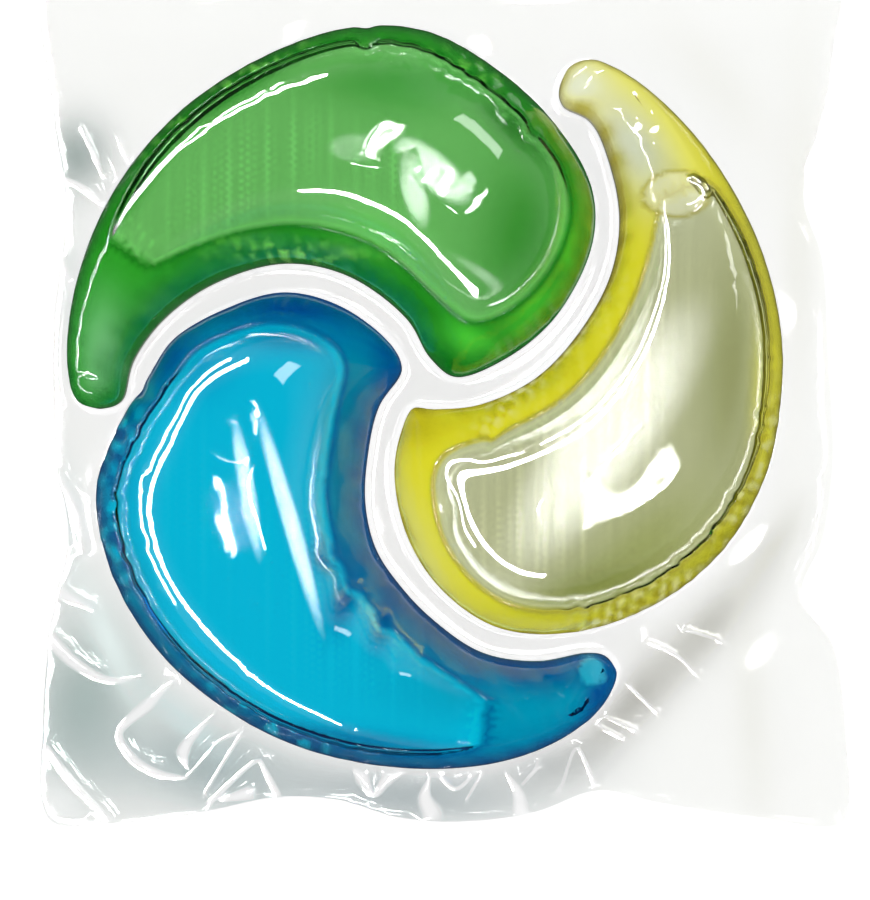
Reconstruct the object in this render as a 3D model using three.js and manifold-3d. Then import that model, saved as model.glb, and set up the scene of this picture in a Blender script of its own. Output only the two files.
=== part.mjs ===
// A three-chamber laundry capsule: three comma-shaped pockets of liquid detergent that swirl round
// a common centre, held between two water-soluble films. The upper film is thermoformed into tall
// domes, the lower one closes them with shallow bulges, and both run out into a square flange with
// wavy cut edges. Millimetres, +Z up, the capsule lying on its lower film with its domes upward.
//
// Each chamber's liquid stops short of the crown of its dome, where a long air bubble sits, and its
// tail is full. Two smaller round bubbles cling to the film over the tails of two chambers.

import * as THREE from "three";
import { mergeVertices } from "three/addons/utils/BufferGeometryUtils.js";
import Module from "manifold-3d";

const wasm = await Module();
wasm.setup();

// Driving dimensions.
const FILM = 0.09; // thickness of each film
const GAP = 0.12; // clearance between touching pieces
const SEAL_HEIGHT = 3.4; // the flange's underside above the surface the capsule lies on
const DOME_HEIGHT = 11.6; // tallest a dome stands above the flange
const BULGE_DEPTH = 4.3; // how far the lower film would bulge below the flange if nothing held it
const FULL_ROOM = 3.6; // room round the spine, as roomAt measures it, where a pocket is fully high
const LIQUID_LEVEL = 12.0; // the free surface under the long bubbles, above the resting surface
const RIM_CLEARANCE = 0.4; // how far inside a pocket's rim its liquid ends at the seal
const BUBBLE_SINK = 0.45; // how far under the crown a round bubble's middle lies, as a share of its height
const OUTLINE_STEPS = 2; // points on an outline for each of its control points
const SPINE_STEPS = 120; // points along a spine
const BALL_SEGMENTS = [14, 9]; // of a round bubble, around and from pole to pole
const AIR_SIZE = 80; // a block of air larger than any dome

// How far in from the rim towards the spine each ring of a pocket lies, 0 being the rim.
const DOME_RINGS = [0, 0.04, 0.13, 0.27, 0.45, 0.66, 0.88];
const BULGE_RINGS = [0, 0.16, 0.36, 0.6, 0.87];

// Each chamber's rim, anticlockwise from the end of its tail, and its spine from tail to head.
const CHAMBERS = [
  {
    name: "green",
    colour: 0x2fae3a,
    rim: [
      [-22.5, -0.8], [-20.9, -0.2], [-20.1, 2.5], [-18.2, 5.1], [-15.0, 7.35], [-10.6, 8.6],
      [-6.6, 7.8], [-2.9, 5.1], [-1.4, 2.6], [0.4, 1.25], [3.9, 2.5], [7.2, 5.3], [9.4, 9.7],
      [9.4, 13.4], [7.2, 17.4], [3.5, 21.0], [-1.2, 23.6], [-6.5, 23.8], [-12.5, 21.6],
      [-17.7, 17.9], [-21.6, 12.9], [-23.9, 7.0], [-24.4, 2.0], [-23.8, -0.2],
    ],
    spine: [
      [-22.4, 1.2], [-21.7, 5.5], [-18.9, 10.4], [-14.5, 14.1], [-9.5, 15.8], [-4.5, 15.4],
      [0.0, 13.2], [2.2, 10.6],
    ],
    bubbles: [],
  },
  {
    name: "blue",
    colour: 0x0a9fd6,
    rim: [
      [10.3, -16.2], [9.0, -16.0], [5.8, -16.55], [2.3, -16.0], [-0.8, -13.9], [-2.9, -11.7],
      [-4.4, -9.4], [-5.05, -6.6], [-4.9, -3.6], [-4.2, -0.5], [-2.7, 1.9], [-3.3, 3.6],
      [-6.6, 6.2], [-10.4, 7.15], [-14.4, 6.0], [-17.7, 4.0], [-19.4, 1.4], [-21.0, -1.2],
      [-22.6, -5.6], [-21.7, -10.8], [-18.8, -15.8], [-14.4, -19.7], [-9.2, -22.3],
      [-3.0, -23.5], [3.0, -23.2], [7.4, -21.6], [10.1, -19.4], [11.0, -17.2],
    ],
    spine: [
      [9.4, -17.9], [5.5, -19.5], [0.5, -19.2], [-4.5, -17.2], [-9.3, -13.8], [-12.4, -9.0],
      [-13.2, -4.5], [-12.0, -0.6],
    ],
    bubbles: [{ at: [9.0, -17.1], size: [0.85, 0.85, 0.75] }],
  },
  {
    name: "yellow",
    colour: 0xd6dc6a,
    rim: [
      [9.0, 21.9], [7.4, 21.3], [6.85, 19.9], [7.3, 18.8], [9.0, 17.9], [10.2, 15.2],
      [10.8, 11.9], [10.3, 8.5], [8.5, 5.0], [5.6, 1.8], [2.0, 0.05], [-0.9, -0.25],
      [-2.4, -0.2], [-3.3, -1.9], [-3.75, -4.8], [-2.9, -8.8], [-0.7, -12.2], [3.0, -14.7],
      [8.0, -15.0], [13.4, -13.1], [17.4, -9.9], [20.2, -5.3], [21.3, 0.0], [21.2, 5.0],
      [19.6, 10.6], [16.4, 16.1], [12.9, 19.8], [10.7, 21.3],
    ],
    spine: [
      [8.6, 20.1], [10.9, 18.0], [13.3, 14.8], [15.2, 10.5], [15.4, 5.6], [13.8, 0.6],
      [10.3, -4.0], [5.8, -6.6],
    ],
    bubbles: [{ at: [13.9, 12.5], size: [1.95, 1.4, 1.3] }],
  },
];

// The flange's cut edge, anticlockwise from the lower left corner.
const FLANGE_EDGE = [
  [-25.7, -27.0], [-21.8, -27.2], [-15.4, -26.4], [-11.1, -25.55], [-7.2, -25.7], [-2.9, -26.9],
  [1.3, -27.1], [5.6, -26.5], [9.7, -25.1], [13.6, -25.9], [19.8, -26.8], [25.6, -27.1],
  [25.9, -22.0], [24.9, -15.4], [22.8, -12.4], [24.1, -9.0], [24.8, -4.0], [24.5, 3.0],
  [24.1, 9.2], [22.9, 13.3], [24.4, 18.5], [25.1, 23.0], [25.3, 27.0], [19.0, 26.7],
  [12.5, 27.1], [6.0, 26.4], [-1.0, 26.9], [-8.0, 27.2], [-15.0, 26.5], [-21.0, 26.9],
  [-25.9, 27.1], [-25.5, 19.0], [-24.6, 12.6], [-25.4, 5.0], [-25.3, -3.0], [-24.5, -9.0],
  [-25.6, -14.5], [-26.1, -20.5],
];

const FILM_COLOUR = 0xf2f6f4;

// A smooth closed outline through a list of [x, y] points, as Vector2s.
function closedOutline(points, steps) {
  const curve = new THREE.CatmullRomCurve3(
    points.map(([x, y]) => new THREE.Vector3(x, y, 0)),
    true,
  );
  const count = points.length * steps;
  return Array.from({ length: count }, (_, i) => {
    const p = curve.getPoint(i / count);
    return new THREE.Vector2(p.x, p.y);
  });
}

// How much room there is round a point inside an outline: near a straight rim it is the distance
// to the rim, and midway between two rims it is a quarter of the width. It varies smoothly.
function roomAt(point, outline) {
  const rimShare = outline.reduce((sum, corner, i) => {
    const a = corner.clone().sub(point);
    const b = outline[(i + 1) % outline.length].clone().sub(point);
    const cross = a.cross(b);
    const dot = a.dot(b);
    const spread = Math.abs(cross) < 1e-9 ? 1 / dot : Math.atan2(cross, dot) / cross;
    return sum + a.distanceTo(b) * spread;
  }, 0);
  return Math.PI / rimShare;
}

// Points along a chamber's spine, each with the room round it.
function spineOf(spinePoints, outline) {
  const curve = new THREE.CatmullRomCurve3(spinePoints.map(([x, y]) => new THREE.Vector3(x, y, 0)));
  return curve.getPoints(SPINE_STEPS).map(({ x, y }) => {
    const at = new THREE.Vector2(x, y);
    return { at, room: roomAt(at, outline) };
  });
}

const nearest = (spine, point) =>
  spine.reduce((a, b) => (b.at.distanceTo(point) < a.at.distanceTo(point) ? b : a));

// Share of a pocket's height by how far in from the rim it is, 1 being the middle: a dome has a
// steep wall that rounds over into a level crown, and a bulge is a shallow cushion.
const domeProfile = (inset) => Math.pow(1 - Math.pow(1 - inset, 1.4), 0.6);
const bulgeProfile = (inset) => Math.pow(1 - Math.pow(1 - inset, 2.2), 0.8);

// A narrow stretch of a pocket, such as its tail, is shallower than a wide one.
const heightShare = (room) => Math.tanh((1.5 * room) / FULL_ROOM) / Math.tanh(1.5);

// An open sheet under construction: points and triangles that refer to them.
class Sheet {
  constructor() {
    this.points = [];
    this.faces = [];
  }

  addRing(ring) {
    const first = this.points.length;
    this.points.push(...ring);
    return ring.map((_, i) => first + i);
  }

  // Joins two rings with equally many points. The faces look up when inner is the inner ring.
  bridge(outer, inner) {
    const n = outer.length;
    for (let i = 0; i < n; i++) {
      const j = (i + 1) % n;
      this.faces.push([outer[i], outer[j], inner[j]], [outer[i], inner[j], inner[i]]);
    }
  }

  // Fills the space inside a ring, less any holes, with triangles that look up.
  fill(ring, holes = []) {
    const flat = (indices) =>
      indices.map((i) => new THREE.Vector2(this.points[i].x, this.points[i].y));
    const all = [...ring, ...holes.flat()];
    const made = THREE.ShapeUtils.triangulateShape(flat(ring), holes.map(flat));
    for (const [a, b, c] of made) this.faces.push([all[a], all[b], all[c]]);
  }
}

// The rings of one pocket, from its rim to near its spine. A negative height makes it bulge down.
function pocketRings({ outline, spine, toSpine }, insets, base, height, profile) {
  return insets.map((inset, k) =>
    outline.map((rim, i) => {
      const place = rim.clone().addScaledVector(toSpine[i], inset);
      const middle = nearest(spine, place);
      const depth = k === 0 ? 0 : Math.min(1, roomAt(place, outline) / middle.room);
      const rise = height * heightShare(middle.room) * profile(depth);
      return new THREE.Vector3(place.x, place.y, base + rise);
    }),
  );
}

const domeRings = (chamber) =>
  pocketRings(chamber, DOME_RINGS, SEAL_HEIGHT + FILM, DOME_HEIGHT, domeProfile);

const bulgeRings = (chamber) =>
  pocketRings(chamber, BULGE_RINGS, SEAL_HEIGHT - GAP, -BULGE_DEPTH, bulgeProfile).map((ring) =>
    ring.map((p) => new THREE.Vector3(p.x, p.y, Math.max(p.z, FILM))),
  );

function addPocket(sheet, rings) {
  const placed = rings.map((ring) => sheet.addRing(ring));
  for (let k = 0; k + 1 < placed.length; k++) sheet.bridge(placed[k], placed[k + 1]);
  sheet.fill(placed.at(-1));
  return placed[0];
}

function geometryOf(points, faces) {
  return new THREE.BufferGeometry()
    .setFromPoints(points)
    .setIndex(faces.flat());
}

// A sheet's points moved along its surface normals.
function shifted(sheet, distance) {
  const geometry = geometryOf(sheet.points, sheet.faces);
  geometry.computeVertexNormals();
  const normals = geometry.getAttribute("normal");
  return sheet.points.map((p, i) =>
    p.clone().addScaledVector(new THREE.Vector3().fromBufferAttribute(normals, i), distance),
  );
}

// Gives an open sheet its thickness, downwards from its upper side, and closes its cut edge.
function thicken(sheet, thickness) {
  const count = sheet.points.length;
  const lower = shifted(sheet, -thickness);
  const directed = new Set(sheet.faces.flatMap(([a, b, c]) => [`${a},${b}`, `${b},${c}`, `${c},${a}`]));
  const walls = [...directed]
    .map((edge) => edge.split(",").map(Number))
    .filter(([a, b]) => !directed.has(`${b},${a}`))
    .flatMap(([a, b]) => [[a, a + count, b + count], [a, b + count, b]]);
  const underside = sheet.faces.map(([a, b, c]) => [a + count, c + count, b + count]);
  return geometryOf([...sheet.points, ...lower], [...sheet.faces, ...underside, ...walls]);
}

// A flat flange at one height, with a pocket over each chamber.
function filmSheet(chambers, edge, base, ringsOf) {
  const sheet = new Sheet();
  const edgeRing = sheet.addRing(edge.map((p) => new THREE.Vector3(p.x, p.y, base)));
  const rims = chambers.map((chamber) => addPocket(sheet, ringsOf(chamber)));
  sheet.fill(edgeRing, rims);
  return sheet;
}

function solidOf(geometry) {
  const bare = new THREE.BufferGeometry()
    .setAttribute("position", geometry.getAttribute("position"))
    .setIndex(geometry.index);
  const merged = mergeVertices(bare, 1e-4);
  return new wasm.Manifold(
    new wasm.Mesh({
      numProp: 3,
      vertProperties: merged.attributes.position.array,
      triVerts: new Uint32Array(merged.index.array),
    }),
  );
}

function geometryFrom(solid) {
  const mesh = solid.getMesh();
  return new THREE.BufferGeometry()
    .setAttribute("position", new THREE.BufferAttribute(mesh.vertProperties, 3))
    .setIndex(new THREE.BufferAttribute(mesh.triVerts, 1));
}

// A pocket's sheet moved along its normals, with its rim drawn in to where the liquid ends.
function pocketInside(chamber, rings, distance) {
  const sheet = new Sheet();
  addPocket(sheet, rings);
  sheet.points = shifted(sheet, distance);
  chamber.outline.forEach((p, i) => {
    const inward = chamber.toSpine[i].clone().setLength(RIM_CLEARANCE);
    sheet.points[i] = new THREE.Vector3(p.x + inward.x, p.y + inward.y, SEAL_HEIGHT);
  });
  return sheet;
}

// One chamber's liquid: it fills the pocket between the films, less the air above its level
// and any small round bubble.
function liquid(chamber) {
  const upper = pocketInside(chamber, domeRings(chamber), -FILM - GAP);
  const under = pocketInside(chamber, bulgeRings(chamber), GAP);
  const count = upper.points.length;
  const underFaces = under.faces.map(([a, b, c]) => [a + count, c + count, b + count]);
  const air = new THREE.BoxGeometry(AIR_SIZE, AIR_SIZE, AIR_SIZE);
  air.translate(0, 0, LIQUID_LEVEL + AIR_SIZE / 2);
  return geometryFrom(
    chamber.bubbles.reduce(
      (body, bubble) => body.subtract(roundBubble(chamber, bubble)),
      solidOf(
        geometryOf([...upper.points, ...under.points], [...upper.faces, ...underFaces]),
      ).subtract(solidOf(air)),
    ),
  );
}

// A round bubble pressed up against the film: a flattened ball that opens at the liquid's surface.
function roundBubble(chamber, { at: [x, y], size: [a, b, c] }) {
  const { room } = nearest(chamber.spine, new THREE.Vector2(x, y));
  const crown = SEAL_HEIGHT + DOME_HEIGHT * heightShare(room);
  const ball = new THREE.SphereGeometry(1, ...BALL_SEGMENTS);
  return solidOf(ball.scale(a, b, c).translate(x, y, crown - BUBBLE_SINK * c));
}

function named(name, geometry, colour, look) {
  const mesh = new THREE.Mesh(
    geometry,
    new THREE.MeshStandardMaterial({ color: colour, metalness: 0, transparent: true, ...look }),
  );
  mesh.name = name;
  return mesh;
}

const edge = closedOutline(FLANGE_EDGE, OUTLINE_STEPS);
const chambers = CHAMBERS.map((chamber) => {
  const outline = closedOutline(chamber.rim, OUTLINE_STEPS);
  const spine = spineOf(chamber.spine, outline);
  const toSpine = outline.map((p) => nearest(spine, p).at.clone().sub(p));
  return { ...chamber, outline, spine, toSpine };
});
const formedFilm = thicken(filmSheet(chambers, edge, SEAL_HEIGHT + FILM, domeRings), FILM);
const lowerFilm = thicken(filmSheet(chambers, edge, SEAL_HEIGHT - GAP, bulgeRings), FILM);

const capsule = new THREE.Group();
capsule.add(
  named("formed_film", formedFilm, FILM_COLOUR, { roughness: 0.08, opacity: 0.3 }),
  named("lower_film", lowerFilm, FILM_COLOUR, { roughness: 0.1, opacity: 0.3 }),
  ...chambers.map((chamber) =>
    named(`${chamber.name}_liquid`, liquid(chamber), chamber.colour, { roughness: 0.03, opacity: 0.85 }),
  ),
);

// The origin is under the middle of the flange.
const box = new THREE.Box2().setFromPoints(edge);
const middle = box.getCenter(new THREE.Vector2());
capsule.position.set(-middle.x, -middle.y, 0);

export default capsule;
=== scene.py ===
import math

import bpy
import numpy as np
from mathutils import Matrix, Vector
from mathutils.geometry import delaunay_2d_cdt


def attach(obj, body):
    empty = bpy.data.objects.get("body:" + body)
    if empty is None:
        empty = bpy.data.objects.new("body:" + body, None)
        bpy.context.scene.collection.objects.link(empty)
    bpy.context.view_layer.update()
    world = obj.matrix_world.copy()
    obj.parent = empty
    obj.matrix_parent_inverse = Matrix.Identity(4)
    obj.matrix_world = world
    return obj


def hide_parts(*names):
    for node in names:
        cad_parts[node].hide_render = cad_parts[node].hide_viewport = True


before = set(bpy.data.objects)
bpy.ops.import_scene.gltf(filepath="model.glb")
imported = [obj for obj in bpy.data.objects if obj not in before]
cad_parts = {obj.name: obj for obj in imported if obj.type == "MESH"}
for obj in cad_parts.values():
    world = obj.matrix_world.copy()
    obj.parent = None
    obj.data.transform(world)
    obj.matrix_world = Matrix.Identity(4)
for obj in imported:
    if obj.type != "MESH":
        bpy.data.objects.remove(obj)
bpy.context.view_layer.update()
print("frame loaded")

mm = 0.001

shot = {  # straight down
    "lens": 100,
    "sensor": 36,
    "aspect": 870 / 900,
    "height": 0.1612,  # over the flange
    "aim": (-0.00074, -0.00316),
}

# outlines and heights, in mm

capsule = {
    "film": 0.09,  # thickness of each film
    "gap": 0.12,  # between the two films of the flange
    "seal": 3.4,  # flange above the resting surface
    "dome": 11.6,  # height of a full dome over the flange
    "bulge": 4.3,  # depth of a full bulge under the flange
    "fullRoom": 3.6,  # room at a crown that gives a full dome
    "ease": 1.5,  # how soon a wider crown nears full height
    "domeCurve": (1.4, 0.6),  # crown and wall of a dome's section
    "bulgeCurve": (2.2, 0.8),
    "swirl": (-2.0, 1.0),  # where the three chambers meet
    "lean": (0.86, 0.014),  # slope of the walls there, and more for each mm outwards
    "level": 12.0,  # liquid surface under the long bubbles
    "climb": 0.2,  # how far the liquid climbs the film round a bubble
    "climbReach": 0.3,
    "round": 0.07,  # rounding of the liquid's edge along the film
    "play": 0.05,  # between each liquid and the films
    "inset": 0.28,  # of a liquid's rim from its chamber's outline
}

greenChamber = {
    "rim": [
        (-22.5, -0.8), (-20.9, -0.2), (-20.1, 2.5), (-18.2, 5.1), (-15.0, 7.35), (-10.6, 8.6),
        (-6.6, 7.8), (-2.9, 5.1), (-1.4, 2.6), (0.4, 1.25), (3.9, 2.5), (7.2, 5.3), (9.4, 9.7),
        (9.4, 13.4), (7.2, 17.4), (3.5, 21.0), (-1.2, 23.6), (-6.5, 23.8), (-12.5, 21.6),
        (-17.7, 17.9), (-21.6, 12.9), (-23.9, 7.0), (-24.4, 2.0), (-23.8, -0.2),
    ],
    "spine": [
        (-22.4, 1.2), (-21.7, 5.5), (-18.9, 10.4), (-14.5, 14.1), (-9.5, 15.8), (-4.5, 15.4),
        (0.0, 13.2), (2.2, 10.6),
    ],
    "bubbles": [],
    "marks": [  # x, y, half-length, half-width, direction in degrees, depth
        (-5.3, 23.6, 0.9, 0.5, 80, 1.3), (-1.0, 20.9, 2.9, 1.7, 5, 0.5),
        (3.8, 18.6, 0.5, 0.9, 30, 0.6), (-19.4, 5.0, 1.1, 0.3, 3, 0.5),
        (-16.6, 8.6, 1.0, 0.8, 60, 0.35), (-13.4, 9.6, 1.1, 0.6, 20, 0.3),
        (5.4, 17.4, 0.5, 0.9, -45, 0.5), (-9.0, 9.4, 1.6, 0.5, -5, 0.3),
        (1.9, 3.4, 0.7, 0.5, 40, 0.3),
    ],
    "crinkles": [  # x, y, reach, height, spacing
        (-3.6, 22.4, 2.0, 0.22, 1.1), (0.2, 22.0, 2.0, 0.25, 1.0), (3.2, 20.0, 1.6, 0.22, 1.0),
        (-13.0, 8.6, 1.6, 0.16, 0.9), (-9.0, 9.2, 1.5, 0.18, 0.8), (-6.2, 8.9, 1.5, 0.2, 0.9),
        (-16.0, 18.6, 2.2, 0.08, 1.1), (-11.5, 21.2, 2.2, 0.1, 1.0), (6.6, 4.6, 1.6, 0.12, 0.9),
    ],
    "waves": (0.04, 4.2, 90),
    # painted highlight and shade specks along the sealed rim
    "paintedSpecks": (
        (0.75, 1.0, 0.40), 0.9, 71,
        [(-13.5, 20.6, 6.5, 0.7, 36), (-10.5, 9.7, 4.5, 0.6, -3), (-1.0, 21.6, 4.0, 1.0, -10)],
    ),
    "puckers": (0.07, 1.2, 61),
    # painted shade along the sealed rim, and how far in it reaches
    "rimShadeTint": (0.01, 0.24, 0.04),
    "rimShadeReach": 1.5,
    "bandTint": (0.12, 0.52, 0.10),
    "poolTint": (0.68, 0.76, 0.62),
    # painted streaks of light in the pool
    "paintedStreaks": [
        (-14.5, 13.5, 4.5, 2.6, 45, 0.22),
        (-9.5, 16.5, 3.0, 2.4, 20, 0.18),
        (-3.5, 15.0, 2.6, 1.8, 0, 0.22),
    ],
    # painted dark line where the liquid meets the film and round each bubble
    "edgeShadeTint": (0.05, 0.30, 0.06),
    "lightAndShade": [  # painted light and shade: x, y, half-length, half-width, direction, tint, strength
        (4.4, 17.6, 3.6, 1.1, -42, (0.03, 0.22, 0.04), 0.85),
        (0.2, 2.2, 1.4, 0.9, -30, (0.03, 0.25, 0.03), 0.9),
        (-13.0, 20.6, 5.5, 0.8, 35, (0.05, 0.40, 0.03), 0.9),
        (-20.0, 14.0, 4.5, 0.7, 55, (0.05, 0.45, 0.05), 0.8),
        (5.0, 10.5, 3.2, 6.0, -10, (0.16, 0.42, 0.12), 0.92),
        (-3.0, 20.6, 6.0, 1.6, -2, (0.20, 0.48, 0.18), 0.8),
        (-13.5, 11.0, 3.0, 1.6, 30, (0.50, 0.66, 0.50), 0.6),
        (-4.6, 11.2, 3.2, 1.6, -20, (0.62, 0.95, 0.52), 0.7),
        (-2.0, 20.3, 4.0, 1.8, 5, (0.35, 0.62, 0.35), 0.5),
        (-21.8, 2.8, 1.8, 3.8, 8, (0.72, 0.82, 0.92), 0.9),
        (-18.6, 6.0, 1.8, 1.2, 40, (0.50, 0.72, 0.60), 0.8),
        (-19.5, 5.0, 1.2, 0.5, 3, (0.03, 0.20, 0.05), 0.9),
        (-3.2, 7.0, 4.6, 0.6, -33, (0.04, 0.30, 0.03), 0.85),
        (-11.5, 8.9, 5.0, 0.4, -3, (0.05, 0.33, 0.05), 0.8),
        (-7.4, 9.7, 1.5, 0.35, -5, (0.85, 1.0, 0.7), 0.9),
        (-11.2, 9.9, 1.6, 0.3, 0, (0.5, 0.95, 0.4), 0.8),
        (1.9, 3.6, 2.4, 0.8, -35, (0.35, 1.0, 0.22), 0.95),
        (5.4, 5.6, 2.6, 0.7, 48, (0.32, 1.0, 0.2), 0.9),
        (7.7, 9.6, 0.6, 2.6, 0, (0.20, 0.85, 0.15), 0.7),
        (-14.6, 8.4, 1.6, 0.5, 22, (0.3, 0.85, 0.3), 0.8),
    ],
}

blueChamber = {
    "rim": [
        (10.3, -16.2), (9.0, -16.0), (5.8, -16.55), (2.3, -16.0), (-0.8, -13.9), (-2.9, -11.7),
        (-4.4, -9.4), (-5.05, -6.6), (-4.9, -3.6), (-4.2, -0.5), (-2.7, 1.9), (-3.3, 3.6),
        (-6.6, 6.2), (-10.4, 7.15), (-14.4, 6.0), (-17.7, 4.0), (-19.4, 1.4), (-21.0, -1.2),
        (-22.6, -5.6), (-21.7, -10.8), (-18.8, -15.8), (-14.4, -19.7), (-9.2, -22.3),
        (-3.0, -23.5), (3.0, -23.2), (7.4, -21.6), (10.1, -19.4), (11.0, -17.2),
    ],
    "spine": [
        (9.4, -17.9), (5.5, -19.5), (0.5, -19.2), (-4.5, -17.2), (-9.3, -13.8), (-12.4, -9.0),
        (-13.2, -4.5), (-12.0, -0.6),
    ],
    "bubbles": [(9.0, -17.1, 0.85, 0.85, 0.75)],
    "marks": [
        (-19.9, 0.7, 0.9, 0.5, -20, 1.3), (-6.6, -12.6, 1.8, 0.75, 70, 0.75),
        (-7.7, -10.0, 0.8, 0.8, 0, 0.6), (-4.2, -14.2, 1.5, 0.5, 75, 0.6),
        (-1.6, -15.6, 1.3, 0.4, 78, 0.5), (-6.0, -7.4, 1.8, 0.7, 85, 0.4),
        (-6.3, -3.0, 2.0, 0.6, 95, 0.4), (-17.9, 2.2, 1.2, 0.9, 50, 0.5),
        (6.4, -18.2, 1.5, 0.35, -40, 0.5), (4.0, -19.0, 1.8, 0.35, -50, 0.4),
        (-3.0, -16.6, 1.0, 0.5, 80, 0.35), (8.4, -19.6, 1.2, 0.4, 55, 0.5),
    ],
    "crinkles": [
        (-20.8, -1.6, 1.5, 0.3, 1.3), (-21.9, -4.2, 1.6, 0.32, 1.2), (-22.1, -7.0, 1.5, 0.3, 1.3),
        (-21.6, -9.8, 1.6, 0.3, 1.4), (-20.6, -12.6, 1.5, 0.2, 1.2), (-5.3, -5.5, 1.6, 0.22, 1.3),
        (-4.0, -11.5, 2.0, 0.25, 1.4), (-0.5, -15.2, 1.6, 0.2, 1.2), (-13.5, -19.8, 2.2, 0.1, 1.0),
        (-7.0, -22.6, 2.0, 0.1, 1.1), (8.0, -20.6, 1.4, 0.18, 1.1),
    ],
    "waves": (0.04, 4.6, 100),
    # painted highlight and shade specks along the sealed rim
    "paintedSpecks": ((0.10, 0.95, 1.0), 1.2, 72, [(-21.2, -6.0, 1.2, 8.0, -3), (-12.0, -20.6, 6.0, 0.7, -28)]),
    "puckers": (0.08, 1.6, 62),
    # painted shade along the sealed rim, and how far in it reaches
    "rimShadeTint": (0.01, 0.12, 0.34),
    "rimShadeReach": 1.5,
    "bandTint": (0.03, 0.46, 0.56),
    "poolTint": (0.17, 0.90, 0.99),
    # painted streaks of light in the pool
    "paintedStreaks": [
        (-16.5, -6.5, 2.2, 6.0, 10, 0.10),
        (-9.0, -9.5, 3.0, 4.5, 0, 0.12),
        (-6.0, -16.5, 5.0, 3.0, -15, 0.10),
    ],
    # painted dark line where the liquid meets the film and round each bubble
    "edgeShadeTint": (0.02, 0.24, 0.42),
    # painted light and shade spots
    "lightAndShade": [
        (-9.0, 6.3, 7.5, 1.7, 0, (0.01, 0.06, 0.33), 0.97),
        (-3.6, 3.0, 1.5, 2.5, 10, (0.01, 0.09, 0.36), 0.9),
        (-6.4, -3.4, 2.0, 6.8, -2, (0.02, 0.36, 0.38), 0.9),
        (-9.0, 4.2, 5.0, 1.0, 0, (0.02, 0.34, 0.52), 0.8),
        (-15.5, 2.2, 2.4, 2.0, 40, (0.03, 0.62, 0.80), 0.6),
        (1.0, -19.0, 6.0, 2.2, -10, (0.02, 0.62, 0.68), 0.6),
        (-2.6, -13.2, 4.2, 1.6, -48, (0.02, 0.25, 0.36), 0.7),
        (-6.6, -12.6, 2.2, 0.9, 70, (0.01, 0.10, 0.36), 0.9),
        (-7.7, -10.0, 1.1, 1.1, 0, (0.01, 0.16, 0.42), 0.85),
        (-4.2, -14.2, 1.8, 0.7, 75, (0.01, 0.12, 0.36), 0.85),
        (-18.2, 3.0, 2.4, 1.3, 45, (0.01, 0.09, 0.36), 0.9),
        (5.5, -17.4, 2.5, 0.8, -15, (0.02, 0.25, 0.36), 0.7),
        (9.8, -18.4, 0.8, 2.2, -15, (0.01, 0.07, 0.32), 0.95),
        (-21.3, -5.0, 1.4, 5.0, -5, (0.04, 0.66, 0.80), 0.8),
        (-20.2, -12.0, 1.0, 3.5, 20, (0.04, 0.55, 0.60), 0.8),
        (-7.0, -21.8, 9.0, 0.8, -8, (0.02, 0.2, 0.42), 0.75),
    ],
}

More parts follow.
